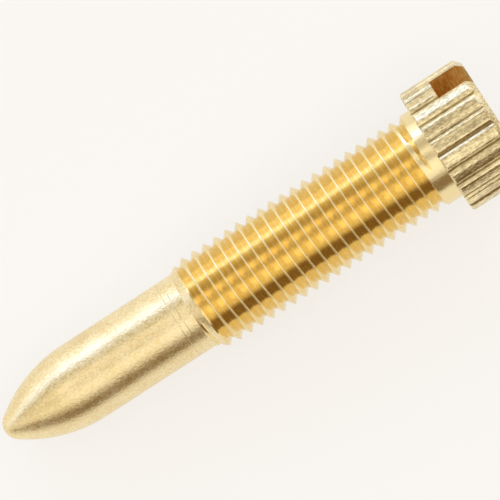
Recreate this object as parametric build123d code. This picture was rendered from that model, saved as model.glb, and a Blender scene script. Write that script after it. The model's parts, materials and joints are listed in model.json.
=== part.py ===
from build123d import *
import os
from math import acos, asin, atan, atan2, degrees, hypot, radians, sqrt, tan

# Idle screw: one turned brass screw with a blunt round nose, a threaded shank,
# and a fluted head with a screwdriver slot.
# Lengths are in millimetres. The screw is drawn with its axis along X, from the tip of the nose
# at X = 0 to the end of the head, and is laid down as it comes to rest.

# Nose
nose_diameter = 4.85
nose_length = 12.96
ogive_length = 5.45
tip_radius = 0.94

# Shank, drawn at the outer diameter of its fine thread, up to the underside of the head
thread_diameter = 5.8
shank_length = 16.64
start_chamfer_angle = 31

# Head
head_diameter = 7.9
head_length = 4.0
end_chamfer = 0.4
inner_edge_break = 0.12

# V grooves along the head, with a flat land on each tooth between them
tooth_count = 23
flute_width = 0.46
flute_depth = 0.15

# Screwdriver slot, and how steeply it stands in degrees when the screw lies at rest
slot_width = 1.74
slot_depth = 2.15
slot_angle = 40.6

# Every cut runs this far past what it cuts
overrun = 0.5

# Worked out from the sizes above
nose_radius = nose_diameter / 2
thread_radius = thread_diameter / 2
head_radius = head_diameter / 2
start_chamfer_length = (thread_radius - nose_radius) / tan(radians(start_chamfer_angle))
head_start = nose_length + shank_length
screw_length = head_start + head_length
tooth_angle = 360 / tooth_count

# The side of the nose is an arc that meets the round tip and the straight part without a corner
ogive_radius = ((ogive_length - tip_radius) ** 2 + nose_radius**2 - tip_radius**2) / (
    2 * (nose_radius - tip_radius)
)
ogive_rise = nose_radius - ogive_radius
ogive_sweep = degrees(asin((ogive_length - tip_radius) / (ogive_radius - tip_radius)))


def blank():
    """The turned form, before the flutes and the slot are cut."""
    tip = CenterArc((tip_radius, 0), tip_radius, 180, ogive_sweep - 90)
    side = CenterArc((ogive_length, ogive_rise), ogive_radius, 90 + ogive_sweep, -ogive_sweep)
    rest = Polyline(
        (ogive_length, nose_radius),
        (nose_length, nose_radius),
        (nose_length + start_chamfer_length, thread_radius),
        (head_start, thread_radius),
        (head_start, head_radius - inner_edge_break),
        (head_start + inner_edge_break, head_radius),
        (screw_length - end_chamfer, head_radius),
        (screw_length, head_radius - end_chamfer),
        (screw_length, 0),
        (0, 0),
    )
    return revolve(make_face(tip + side + rest), Axis.X)


def flutes():
    """V grooves along the whole head, one of them straight down."""
    spread = (flute_depth + overrun) / flute_depth
    outline = Polyline(
        (0, flute_depth - head_radius),
        (-flute_width / 2 * spread, -head_radius - overrun),
        (flute_width / 2 * spread, -head_radius - overrun),
        close=True,
    )
    groove = extrude(Plane.YZ * make_face(outline), head_length + 2 * overrun)
    groove = Pos(head_start - overrun, 0, 0) * groove
    return [Rot(X=tooth_angle * k) * groove for k in range(tooth_count)]


def slot():
    """Flat-bottomed screwdriver slot across the end of the head."""
    cutter = Box(slot_depth + overrun, head_diameter + 2 * overrun, slot_width)
    return Rot(X=slot_angle) * Pos(screw_length + (overrun - slot_depth) / 2, 0, 0) * cutter


def lay_down(screw):
    """Rests the screw on two neighbouring teeth and on the first part of its front to touch."""
    foot_x = head_start + inner_edge_break
    foot_radius = sqrt(head_radius**2 - (flute_width / 2) ** 2)
    run = foot_x - ogive_length
    rise = foot_radius - ogive_rise
    nose_tilt = acos(ogive_radius / hypot(rise, run)) - atan2(run, rise)
    thread_tilt = atan((foot_radius - thread_radius) / (foot_x - nose_length - start_chamfer_length))
    screw = Rot(Y=-degrees(min(nose_tilt, thread_tilt))) * screw
    box = screw.bounding_box()
    return Pos(-box.center().X, -box.center().Y, -box.min.Z) * screw


idle_screw = lay_down(blank() - flutes() - slot())

os.makedirs("parts", exist_ok=True)
export_step(idle_screw, "parts/idle_screw.step")
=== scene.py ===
import json
from math import asin, atan2, cos, hypot, pi, radians, sin, sqrt, tan

import bmesh
import bpy
from mathutils import Matrix, Vector, noise


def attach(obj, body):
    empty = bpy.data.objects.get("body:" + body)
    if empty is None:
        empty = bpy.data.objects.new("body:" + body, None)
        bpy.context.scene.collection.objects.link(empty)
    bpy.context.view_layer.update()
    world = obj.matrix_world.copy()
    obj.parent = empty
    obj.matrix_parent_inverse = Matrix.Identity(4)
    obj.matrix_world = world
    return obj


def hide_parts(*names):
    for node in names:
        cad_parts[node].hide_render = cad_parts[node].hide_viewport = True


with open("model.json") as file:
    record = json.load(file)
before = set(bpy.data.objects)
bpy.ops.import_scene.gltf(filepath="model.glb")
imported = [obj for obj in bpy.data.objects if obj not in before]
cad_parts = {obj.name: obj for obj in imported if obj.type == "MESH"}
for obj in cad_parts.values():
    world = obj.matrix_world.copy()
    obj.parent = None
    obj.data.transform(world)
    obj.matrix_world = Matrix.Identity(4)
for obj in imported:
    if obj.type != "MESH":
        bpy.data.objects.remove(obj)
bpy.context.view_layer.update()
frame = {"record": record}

# Sizes, in metres. The screw's own frame has X along its axis from the tip of the nose.
MM = 0.001
ogive_length = 5.45 * MM
tip_radius = 0.94 * MM

thread_pitch = 0.75 * MM
crest_round = 0.05 * MM
root_round = 0.015 * MM
flank_half_angle = radians(40)
crest_wander = 0.012 * MM
wander_length = 0.5 * MM
wander_scale = 9
plain_depth = 0.015 * MM
crest_place = 14.00 * MM
thread_end = 29.25 * MM
groove_start = 12.67 * MM
groove_start_fade = 0.45 * MM
groove_end = 28.85 * MM
groove_end_fade = 0.20 * MM

scribed_lines = (11.98 * MM, 12.34 * MM)
scribed_depth = 0.012 * MM
scribed_half_width = 0.02 * MM

head_radius = 3.95 * MM
head_length = 4.0 * MM
end_chamfer = 0.4 * MM
inner_edge_break = 0.12 * MM
tooth_count = 23
flute_width = 0.46 * MM
flute_depth = 0.15 * MM
edge_softness = 0.03 * MM
# Share of each flute's side, from its bottom, that takes the dark finish: painted shade in the hollow,
# partly dirt
flute_shade_and_dirt_share = 0.26
flute_middle_share = 0.6

slot_width = 1.74 * MM
slot_angle = radians(40.6)
slot_edge_softness = 0.025 * MM
slot_edge_rows = 2
slot_edge_profile = 0.5
overrun = 0.5 * MM

# Points closer than the first length are joined, and faces thinner than the second are taken out
weld_distance = 0.0002 * MM
thinnest_face = 0.0001 * MM

# Faces square to the screw's axis within the first angle are flat, and edges past the second are sharp
flat_angle = radians(2)
sharp_angle = radians(24)

# How finely the surface is divided
columns = 6 * tooth_count
tip_rows = 12
ogive_rows = 36
round_rows = 3
flank_rows = 3

# Places and radii from the frame
mounts = {mount["name"]: mount for mount in frame["record"]["mounts"]}
axis = -Vector(mounts["thread"]["axis"])
nose_radius = mounts["nose"]["dims"]["r_mm"] * MM
thread_radius = mounts["thread"]["dims"]["r_mm"] * MM
nose_straight = mounts["nose"]["dims"]["length_mm"] * MM
thread_straight = mounts["thread"]["dims"]["length_mm"] * MM
tip = Vector(mounts["nose"]["pos_m"]) - axis * (ogive_length + nose_straight / 2)
side = Vector((0, 1, 0))
lie = Matrix((axis, side, axis.cross(side))).transposed()


def along(name):
    """How far a mount is from the tip of the nose."""
    return (Vector(mounts[name]["pos_m"]) - tip).dot(axis)


nose_end = ogive_length + nose_straight
thread_start = along("thread") - thread_straight / 2
start_slope = (thread_radius - nose_radius) / (thread_start - nose_end)
head_start = along("thread") + thread_straight / 2
screw_end = head_start + head_length
slot_bottom = along("screwdriver_slot")
flank_turn = pi / 2 - flank_half_angle
sharp_depth = thread_pitch / 2 / tan(flank_half_angle)
thread_depth = sharp_depth - (crest_round + root_round) * (1 / sin(flank_half_angle) - 1)
down = -pi / 2

ogive_radius = ((ogive_length - tip_radius) ** 2 + nose_radius**2 - tip_radius**2) / (
    2 * (nose_radius - tip_radius)
)
ogive_rise = nose_radius - ogive_radius
ogive_sweep = asin((ogive_length - tip_radius) / (ogive_radius - tip_radius))

# Finishes, in the order of the screw's material slots
# The finish of the flute bottoms is painted shade, partly dirt
SATIN, TURNED, CREST, THREAD, FLUTED, FLUTE_SHADE_AND_DIRT, SAWN = range(7)


class Skin:
    """Points and faces of the screw's surface, with a finish for each face."""

    def __init__(self):
        self.points = []
        self.faces = []
        self.finishes = []

    def point(self, x, angle, radius):
        self.points.append((x, radius * cos(angle), radius * sin(angle)))
        return len(self.points) - 1

    def face(self, corners, finish):
        self.faces.append(corners)
        self.finishes.append(finish)

    def ring(self, x, radius):
        """A circle of points, the first of them straight down."""
        return [self.point(x, down + 2 * pi * i / columns, radius) for i in range(columns)]

    def band(self, first, second, *finishes):
        """A closed band of faces between two rings of as many points, with its finishes taken in turn."""
        count = len(first)
        for i in range(count):
            j = (i + 1) % count
            corners = (first[i], first[j], second[j], second[i])
            if first[i] == first[j]:
                corners = corners[1:]
            self.face(corners, finishes[i % len(finishes)])


def nose_profile():
    """Points (x, radius, finish of the band before) from just behind the tip to the end of the nose."""
    profile = []
    for k in range(1, tip_rows + 1):
        turn = (pi / 2 - ogive_sweep) * k / tip_rows
        profile.append((tip_radius * (1 - cos(turn)), tip_radius * sin(turn), SATIN))
    for k in range(1, ogive_rows + 1):
        turn = ogive_sweep * (1 - k / ogive_rows)
        x = ogive_length - ogive_radius * sin(turn)
        profile.append((x, ogive_rise + ogive_radius * cos(turn), SATIN))
    for x in scribed_lines:
        profile.append((x - scribed_half_width, nose_radius, SATIN))
        profile.append((x, nose_radius - scribed_depth, FLUTED))
        profile.append((x + scribed_half_width, nose_radius, FLUTED))
    profile.append((nose_end, nose_radius, SATIN))
    return profile


def add_nose(skin):
    """The round tip, the ogive and the straight nose."""
    last = [skin.point(0, 0, 0)] * columns
    for x, radius, finish in nose_profile():
        ring = skin.ring(x, radius)
        skin.band(last, ring, finish)
        last = ring


def thread_rows():
    """One turn's rows (share of the pitch from the crest, depth below the crest), root to root."""
    half = []
    for k in range(1, round_rows + 1):
        turn = flank_turn * k / round_rows
        half.append((crest_round * sin(turn), crest_round * (1 - cos(turn))))
    root = []
    for k in range(round_rows, 0, -1):
        turn = flank_turn * k / round_rows
        offset = thread_pitch / 2 - root_round * sin(turn)
        root.append((offset, thread_depth - root_round * (1 - cos(turn))))
    top, bottom = half[-1], root[0]
    for k in range(1, flank_rows):
        share = k / flank_rows
        half.append(tuple(a * (1 - share) + b * share for a, b in zip(top, bottom)))
    half += root
    left = [(-offset, depth) for offset, depth in reversed(half)]
    rows = [(-thread_pitch / 2, thread_depth)] + left + [(0, 0)] + half
    return [(offset / thread_pitch, depth) for offset, depth in rows]


def groove_lift(place):
    """How far the tool stands out of the groove, near the groove's start and its end."""
    start = 1 - (place - groove_start) / groove_start_fade
    end = 1 + (place - groove_end) / groove_end_fade
    return thread_depth * min(1, max(0, start, end))


def thread_radius_at(x, angle, depth, groove_place):
    """A thread point's radius, and whether the groove leaves the turned blank as it was there."""
    blank_radius = min(thread_radius, nose_radius + start_slope * max(0, x - nose_end))
    cut = max(0, depth - groove_lift(groove_place))
    if depth == 0:
        around = (cos(angle) * wander_scale, sin(angle) * wander_scale)
        cut = crest_wander * max(0, noise.noise(Vector((x / wander_length, *around))))
    return min(thread_radius - cut, blank_radius), thread_radius - cut > blank_radius - plain_depth


def add_thread(skin):
    """The thread as rows that follow its helix, cut square at the nose and at the head."""
    rows = thread_rows()
    spare_turns = 2
    first_turn = int((nose_end - crest_place) / thread_pitch) - spare_turns
    last_turn = int((thread_end - crest_place) / thread_pitch) + spare_turns
    lines = []
    plain = set()
    for turn in range(first_turn, last_turn):
        for share, depth in rows:
            line = []
            for i in range(columns):
                angle = down + 2 * pi * i / columns
                x = crest_place + thread_pitch * (turn + share + angle / (2 * pi))
                groove_place = x + thread_pitch * ((0.5 if share > 0 else -0.5) - share)
                x = min(max(x, nose_end), thread_end)
                radius, is_plain = thread_radius_at(x, angle, depth, groove_place)
                line.append(skin.point(x, angle, radius))
                if is_plain:
                    plain.add(line[-1])
            lines.append(line)
    middle = len(rows) // 2
    for k in range(len(lines) - 1 - len(rows)):
        # The rows round each crest take the crest finish: a painted highlight, partly wear
        finish = CREST if abs(k % len(rows) + 0.5 - middle) < round_rows else THREAD
        for i in range(columns):
            wrapped = len(rows) if i == columns - 1 else 0
            j = (i + 1) % columns
            corners = (lines[k][i], lines[k + wrapped][j], lines[k + 1 + wrapped][j], lines[k + 1][i])
            if not plain.issuperset(corners):
                skin.face(corners, finish)
            elif skin.points[corners[0]][0] < thread_start + thread_pitch:
                skin.face(corners, SATIN)
            else:
                skin.face(corners, TURNED)
    skin.band(skin.ring(thread_end, thread_radius), skin.ring(head_start, thread_radius), TURNED)


def tooth_outline():
    """Points (angle, radius) from the bottom of one flute to the next, the far end left out."""
    floor = head_radius - flute_depth
    half_width = flute_width / 2
    slant = hypot(flute_depth, half_width)
    reach = sqrt((floor * flute_depth) ** 2 + slant**2 * (head_radius**2 - floor**2))
    edge = (reach - floor * flute_depth) / slant**2
    half = []
    for share in (0, flute_shade_and_dirt_share * edge, flute_middle_share * edge, edge - edge_softness / slant):
        rise = floor + flute_depth * share
        half.append((atan2(half_width * share, rise), hypot(half_width * share, rise)))
    edge_angle = atan2(half_width * edge, floor + flute_depth * edge)
    half_tooth = pi / tooth_count
    land_start = edge_angle + edge_softness / head_radius
    half += [(land_start, head_radius), ((land_start + half_tooth) / 2, head_radius)]
    other_half = [(2 * half_tooth - angle, radius) for angle, radius in reversed(half[1:])]
    return half + [(half_tooth, head_radius)] + other_half


def head_profile(radius):
    """Places (x, radius) along the head where its side has the given radius, from inner to end face."""
    seat_radius = head_radius - inner_edge_break
    face_radius = head_radius - end_chamfer
    soft = edge_softness / 2
    chamfer_x = screw_end - end_chamfer + head_radius - radius
    return (
        (head_start, min(radius, seat_radius)),
        (head_start + max(0, radius - seat_radius), radius),
        (chamfer_x - soft, radius),
        (chamfer_x + soft, radius - soft),
        (screw_end - soft, face_radius + soft),
        (screw_end, face_radius - soft),
        (screw_end, face_radius / 2),
    )


def add_head(skin):
    """The fluted head, with its inner face, its end chamfer and its end face."""
    tooth = tooth_outline()
    rings = [[] for place in head_profile(head_radius)]
    for k in range(tooth_count):
        start = down + 2 * pi * k / tooth_count
        for angle, radius in tooth:
            for ring, (x, ring_radius) in zip(rings, head_profile(radius)):
                ring.append(skin.point(x, start + angle, ring_radius))
    # Each flute's bottom takes the dark finish: painted shade in the hollow, partly dirt
    side_finishes = [FLUTE_SHADE_AND_DIRT] + [FLUTED] * (len(tooth) - 2) + [FLUTE_SHADE_AND_DIRT]
    finishes = ([FLUTED], side_finishes, [FLUTED], [FLUTED], [FLUTED], [TURNED])
    for first, second, band_finishes in zip(rings, rings[1:], finishes):
        skin.band(first, second, *band_finishes)
    skin.face(tuple(rings[-1]), TURNED)

    # The inner face, where the head's outline has two points to each one of the shank's
    collar = skin.ring(head_start, thread_radius)
    outer = rings[0]
    for i in range(columns):
        j = (i + 1) % columns
        near, middle, far = outer[2 * i], outer[2 * i + 1], outer[2 * j]
        skin.face((collar[i], middle, near), TURNED)
        skin.face((collar[i], collar[j], middle), TURNED)
        skin.face((collar[j], far, middle), TURNED)


def screw_blank():
    """The screw as one closed mesh, before its slot is cut."""
    skin = Skin()
    add_nose(skin)
    add_thread(skin)
    add_head(skin)
    mesh = bpy.data.meshes.new("idle_screw_body")
    mesh.from_pydata(skin.points, [], skin.faces)
    for polygon, finish in zip(mesh.polygons, skin.finishes):
        polygon.material_index = finish
    form = bmesh.new()
    form.from_mesh(mesh)
    bmesh.ops.remove_doubles(form, verts=form.verts, dist=weld_distance)
    bmesh.ops.dissolve_degenerate(form, edges=form.edges, dist=thinnest_face)
    bmesh.ops.recalc_face_normals(form, faces=form.faces)
    form.to_mesh(mesh)
    form.free()
    return mesh


def slot_cutter(material):
    """A block that fills the screwdriver slot and stands out of it."""
    form = bmesh.new()
    bmesh.ops.create_cube(form, size=1)
    depth = screw_end - slot_bottom + overrun
    height = 2 * (head_radius + overrun)
    place = (
        Matrix.Rotation(slot_angle, 4, "X")
        @ Matrix.Translation((slot_bottom + depth / 2, 0, 0))
        @ Matrix.Diagonal((depth, height, slot_width, 1))
    )
    bmesh.ops.transform(form, matrix=place, verts=form.verts)
    mesh = bpy.data.meshes.new("slot_cutter")
    form.to_mesh(mesh)
    form.free()
    mesh.materials.append(material)
    cutter = bpy.data.objects.new("slot_cutter", mesh)
    bpy.context.scene.collection.objects.link(cutter)
    return cutter


def cut_slot(screw, material):
    """Cuts the slot and softens its edges."""
    cutter = slot_cutter(material)
    modifier = screw.modifiers.new("slot", "BOOLEAN")
    modifier.operation = "DIFFERENCE"
    modifier.solver = "EXACT"
    modifier.material_mode = "TRANSFER"
    modifier.object = cutter
    bpy.context.view_layer.update()
    graph = bpy.context.evaluated_depsgraph_get()
    mesh = bpy.data.meshes.new_from_object(screw.evaluated_get(graph))
    screw.modifiers.clear()
    screw.data = mesh
    bpy.data.objects.remove(cutter)
    form = bmesh.new()
    form.from_mesh(mesh)
    rim = []
    for edge in form.edges:
        sawn = [face.material_index == SAWN for face in edge.link_faces]
        if any(sawn) and not all(sawn):
            rim.append(edge)
    bmesh.ops.bevel(
        form,
        geom=rim,
        offset=slot_edge_softness,
        segments=slot_edge_rows,
        profile=slot_edge_profile,
        affect="EDGES",
        clamp_overlap=True,
    )
    form.to_mesh(mesh)
    form.free()
    for polygon in mesh.polygons:
        polygon.use_smooth = polygon.material_index != SAWN and abs(polygon.normal.x) < cos(flat_angle)
    mesh.set_sharp_from_angle(angle=sharp_angle)


class Nodes:
    """Short calls for a material's or a world's nodes."""

    def __init__(self, owner):
        owner.use_nodes = True
        self.tree = owner.node_tree
        self.tree.nodes.clear()

    def add(self, kind, settings=None, **inputs):
        """A node with settings, and inputs by name: a number, a colour or another node's output."""
        node = self.tree.nodes.new(kind)
        for name, value in (settings or {}).items():
            setattr(node, name, value)
        for name, value in inputs.items():
            self.feed(node.inputs[name.replace("_", " ")], value)
        return node

    def feed(self, socket, value):
        if isinstance(value, bpy.types.NodeSocket):
            self.tree.links.new(value, socket)
        else:
            socket.default_value = value

    def maths(self, operation, first, second=0.0):
        node = self.tree.nodes.new("ShaderNodeMath")
        node.operation = operation
        self.feed(node.inputs[0], first)
        self.feed(node.inputs[1], second)
        return node.outputs[0]

    def ramp(self, factor, stops):
        """A factor turned into colours by stops, of which a new ramp already has two."""
        node = self.tree.nodes.new("ShaderNodeValToRGB")
        elements = node.color_ramp.elements
        for k, (place, colour) in enumerate(stops):
            element = elements[k] if k < 2 else elements.new(place)
            element.position = place
            element.color = (*colour, 1)
        self.feed(node.inputs[0], factor)
        return node.outputs["Color"]

    def span(self, value, start, end, settings=None):
        """A value mapped from one span to another."""
        node = self.add("ShaderNodeMapRange", settings, Value=value)
        for name, number in zip(("From Min", "From Max", "To Min", "To Max"), (*start, *end)):
            node.inputs[name].default_value = number
        return node.outputs["Result"]


def screw_coordinates(nodes):
    """A surface point in the screw's own frame, with X along its axis from the tip."""
    place = nodes.add("ShaderNodeTexCoord").outputs["Object"]
    own = nodes.add("ShaderNodeMapping", {"vector_type": "TEXTURE"}, Vector=place, Location=tip)
    own.inputs["Rotation"].default_value = lie.to_euler()
    return own.outputs["Vector"]


# Grain: how much of it is fine, the scale of the rest, and the spans in which colour and gloss change
fine_share = 0.7
fine_detail = 3
fine_falloff = 0.6
broad_scale = 700
broad_detail = 2
colour_span = (0.40, 0.60)
gloss_span = (0.35, 0.65)

# Tool lines: their scale per metre or per pitch, and their height against the grain's
ring_scale = 9000
ring_height = 0.12
helix_scale = 22
helix_height = 1.2
line_detail = 2


def brass(name, grain, colours, roughness, relief, lines=None, metal=1.0):
    """Brass with a grain of the given scales (per metre along and across), uneven in colour and gloss."""
    material = bpy.data.materials.new("brass_" + name)
    nodes = Nodes(material)
    place = screw_coordinates(nodes)
    stretched = nodes.add("ShaderNodeMapping", Vector=place, Scale=grain).outputs["Vector"]
    fine = nodes.add(
        "ShaderNodeTexNoise", Vector=stretched, Scale=1.0, Detail=fine_detail, Roughness=fine_falloff
    )
    broad = nodes.add("ShaderNodeTexNoise", Vector=place, Scale=broad_scale, Detail=broad_detail)
    height = fine.outputs["Fac"]
    mixed = nodes.maths(
        "ADD",
        nodes.maths("MULTIPLY", height, fine_share),
        nodes.maths("MULTIPLY", broad.outputs["Fac"], 1 - fine_share),
    )
    if lines:
        height = nodes.maths("ADD", height, lines(nodes, place))
    bump = nodes.add("ShaderNodeBump", Strength=1.0, Distance=relief, Height=height)
    shader = nodes.add(
        "ShaderNodeBsdfPrincipled",
        Base_Color=nodes.ramp(mixed, zip(colour_span, colours)),
        Metallic=metal,
        Roughness=nodes.span(mixed, gloss_span, roughness),
        Normal=bump.outputs["Normal"],
    )
    nodes.add("ShaderNodeOutputMaterial", Surface=shader.outputs["BSDF"])
    return material


def tool_lines(nodes, place, scale, height):
    """Fine uneven lines, each one where the given measure of a point's place is the same."""
    dimensions = {"noise_dimensions": "1D"}
    lines = nodes.add("ShaderNodeTexNoise", dimensions, W=place, Scale=scale, Detail=line_detail)
    return nodes.maths("MULTIPLY", lines.outputs["Fac"], height)


def turned_lines(nodes, place):
    """Fine rings left by turning."""
    x = nodes.add("ShaderNodeSeparateXYZ", Vector=place).outputs["X"]
    return tool_lines(nodes, x, ring_scale, ring_height)


def helix_lines(nodes, place):
    """Tool lines that follow the thread: the same in every turn, across one pitch."""
    parts = nodes.add("ShaderNodeSeparateXYZ", Vector=place)
    turn = nodes.maths("ARCTAN2", parts.outputs["Z"], parts.outputs["Y"])
    turn = nodes.maths("DIVIDE", turn, 2 * pi)
    pitches = nodes.maths("SUBTRACT", parts.outputs["X"], crest_place)
    pitches = nodes.maths("DIVIDE", pitches, thread_pitch)
    phase = nodes.maths("FRACT", nodes.maths("SUBTRACT", pitches, turn))
    return tool_lines(nodes, phase, helix_scale, helix_height)


PALE_BRASS = (0.94, 0.785, 0.455)
GOLD_BRASS = (0.92, 0.745, 0.39)
SATIN_LOW = (0.84, 0.655, 0.33)
SATIN_HIGH = (1.0, 0.85, 0.52)
RICH_BRASS = (0.89, 0.685, 0.305)
THREAD_LOW = (0.85, 0.645, 0.28)
THREAD_HIGH = (0.92, 0.72, 0.33)
WORN_BRASS = (0.98, 0.82, 0.48)
DULL_BRASS = (0.54, 0.43, 0.23)
# Pale brass of the crests: a painted highlight, partly wear
CREST_SHEEN_BRASS = (1.0, 0.90, 0.58)
# Painted shade, partly dirt, for the flute bottoms
SHADE_AND_DIRT_BRASS = (0.32, 0.225, 0.095)
RED_BRASS = (0.72, 0.40, 0.13)

materials = [
    brass("satin", (6500, 7500, 7500), (SATIN_LOW, SATIN_HIGH), (0.24, 0.34), 0.016 * MM, turned_lines),
    brass("turned", (5000, 7000, 7000), (GOLD_BRASS, PALE_BRASS), (0.16, 0.24), 0.006 * MM, turned_lines),
    # Crest lines: pale brass, partly non-metal, so they look pale from every side: a painted highlight,
    # partly wear
    brass("crest", (4000, 4000, 4000), (GOLD_BRASS, CREST_SHEEN_BRASS), (0.35, 0.50), 0.002 * MM, metal=0.4),
    brass("thread", (4000, 4000, 4000), (THREAD_LOW, THREAD_HIGH), (0.12, 0.17), 0.0006 * MM, helix_lines),
    brass("fluted", (3600, 9000, 9000), (DULL_BRASS, WORN_BRASS), (0.13, 0.24), 0.014 * MM),
    # The dark brass of the flute bottoms: painted shade in the hollows, partly dirt
    brass("flute_shade_and_dirt", (1800, 9000, 9000), (SHADE_AND_DIRT_BRASS, DULL_BRASS), (0.35, 0.50), 0.006 * MM),
    brass("sawn", (11000, 2200, 2200), (RED_BRASS, RICH_BRASS), (0.34, 0.50), 0.008 * MM),
]

screw = bpy.data.objects.new("idle_screw_brass", screw_blank())
bpy.context.scene.collection.objects.link(screw)
for material in materials[:SAWN]:
    screw.data.materials.append(material)
cut_slot(screw, materials[SAWN])
screw.data.transform(Matrix.Translation(tip) @ lie.to_4x4())
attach(screw, "root")
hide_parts("idle_screw")


# Camera, above the screw and turned so that the screw lies slanted in the picture
picture_pixels = 500
focal_pixels = 4626
picture_turn = radians(32.7)
camera_lean = radians(3.7)
camera_distance = 266 * MM
camera_near = 10 * MM
camera_far = 100
camera_back = Vector((0, -sin(camera_lean), cos(camera_lean)))
aim = Vector((0.68 * MM, 1.13 * MM, 3.1 * MM))


def add_camera():
    camera = bpy.data.cameras.new("camera")
    camera.lens = camera.sensor_width * focal_pixels / picture_pixels
    camera.clip_start = camera_near
    camera.clip_end = camera_far
    holder = bpy.data.objects.new("camera", camera)
    bpy.context.scene.collection.objects.link(holder)
    level_right = Vector((1, 0, 0))
    level_up = camera_back.cross(level_right)
    right = level_right * cos(picture_turn) - level_up * sin(picture_turn)
    up = level_right * sin(picture_turn) + level_up * cos(picture_turn)
    pose = Matrix((right, up, camera_back)).transposed().to_4x4()
    holder.matrix_world = Matrix.Translation(aim + camera_back * camera_distance) @ pose
    bpy.context.scene.camera = holder


# Studio: a pale floor, and a soft sky in bands
floor_size = 6
floor_colour = (0.985, 0.967, 0.935)
floor_glow_share = 0.74

# Light from the sky, by degrees about the screw's length from the camera's own direction to the far side
sky_bands = (
    (-90, (0.26, 0.18, 0.10)),
    (-55, (0.25, 0.175, 0.10)),
    (-42, (1.00, 0.97, 0.92)),
    (-26, (1.22, 1.20, 1.13)),
    (-12, (1.20, 1.17, 1.10)),
    (-5, (0.82, 0.78, 0.73)),
    (6, (0.82, 0.78, 0.73)),
    (12, (1.12, 1.08, 1.01)),
    (22, (1.10, 1.06, 0.99)),
    (30, (0.60, 0.55, 0.47)),
    (40, (0.60, 0.55, 0.47)),
    (55, (0.98, 0.97, 0.96)),
    (59, (1.5, 1.95, 3.3)),
    (68, (1.5, 1.95, 3.3)),
    (74, (1.26, 1.28, 1.36)),
)

# What the bands are multiplied by, by degrees towards either end of the screw
sky_ends = ((10, (1, 1, 1)), (20, (0.90, 0.87, 0.80)))

# The strongest light that a band can have
sky_peak = 3.5

# Patches of sky: degrees to the far side and to the head, degrees from where to where they fade,
# and what they add. The last one is the shade of the camera itself.
patches = ((-23, 20, 2, 15, 0.45), (13, -22, 2, 15, 0.45), (5, 1, 4, 11, -0.4))


def add_floor():
    mesh = bpy.data.meshes.new("floor")
    half = floor_size / 2
    corners = [(-half, -half, 0), (half, -half, 0), (half, half, 0), (-half, half, 0)]
    mesh.from_pydata(corners, [], [(0, 1, 2, 3)])
    floor = bpy.data.objects.new("floor", mesh)
    bpy.context.scene.collection.objects.link(floor)
    paper = bpy.data.materials.new("paper")
    nodes = Nodes(paper)
    matt = nodes.add("ShaderNodeBsdfDiffuse", Color=(*floor_colour, 1))
    glow = nodes.add("ShaderNodeEmission", Color=(*floor_colour, 1), Strength=1.0)
    rays = nodes.add("ShaderNodeLightPath")
    seen = nodes.maths("MAXIMUM", rays.outputs["Is Camera Ray"], rays.outputs["Is Glossy Ray"])
    seen = nodes.maths("MAXIMUM", seen, rays.outputs["Is Transmission Ray"])
    mix = nodes.add("ShaderNodeMixShader", Fac=nodes.maths("MULTIPLY", seen, floor_glow_share))
    nodes.feed(mix.inputs[1], matt.outputs["BSDF"])
    nodes.feed(mix.inputs[2], glow.outputs["Emission"])
    nodes.add("ShaderNodeOutputMaterial", Surface=mix.outputs["Shader"])
    mesh.materials.append(paper)


def add_sky():
    """Light from every way, in long bands that run with the screw, warmer towards its ends."""
    world = bpy.data.worlds.new("sky")
    bpy.context.scene.world = world
    nodes = Nodes(world)
    way = nodes.add("ShaderNodeTexCoord").outputs["Generated"]

    def share_of(direction):
        node = nodes.add("ShaderNodeVectorMath", {"operation": "DOT_PRODUCT"})
        nodes.feed(node.inputs[0], way)
        node.inputs[1].default_value = direction
        return node.outputs["Value"]

    far_side = Vector((0, cos(camera_lean), sin(camera_lean)))
    turn = nodes.maths("ARCTAN2", share_of(far_side), share_of(camera_back))
    half_turns = nodes.maths("ADD", nodes.maths("DIVIDE", turn, pi), 0.5)
    stops = []
    for degrees, light in sky_bands:
        stops.append((degrees / 180 + 0.5, [level / sky_peak for level in light]))
    bands = nodes.ramp(half_turns, stops)
    along_screw = nodes.maths("ABSOLUTE", share_of((1, 0, 0)))
    ends = nodes.ramp(along_screw, [(sin(radians(degrees)), tint) for degrees, tint in sky_ends])

    # The mix node's inputs 6 and 7 and its output 2 are its colours
    colour = nodes.add("ShaderNodeMix", {"data_type": "RGBA", "blend_type": "MULTIPLY"}, Factor=1.0)
    nodes.feed(colour.inputs[6], bands)
    nodes.feed(colour.inputs[7], ends)

    strength = sky_peak
    for to_far_side, to_head, inner, outer, gain in patches:
        level = cos(radians(to_far_side)) * camera_back + sin(radians(to_far_side)) * far_side
        patch_way = cos(radians(to_head)) * level + Vector((sin(radians(to_head)), 0, 0))
        fade = (cos(radians(outer)), cos(radians(inner)))
        patch = nodes.span(
            share_of(patch_way), fade, (0, sky_peak * gain), {"interpolation_type": "SMOOTHSTEP"}
        )
        strength = nodes.maths("ADD", patch, strength)
    light = nodes.add("ShaderNodeBackground", Color=colour.outputs[2], Strength=strength)
    nodes.add("ShaderNodeOutputWorld", Surface=light.outputs["Background"])


add_camera()
add_floor()
add_sky()

scene = bpy.context.scene
scene.view_settings.view_transform = "Standard"
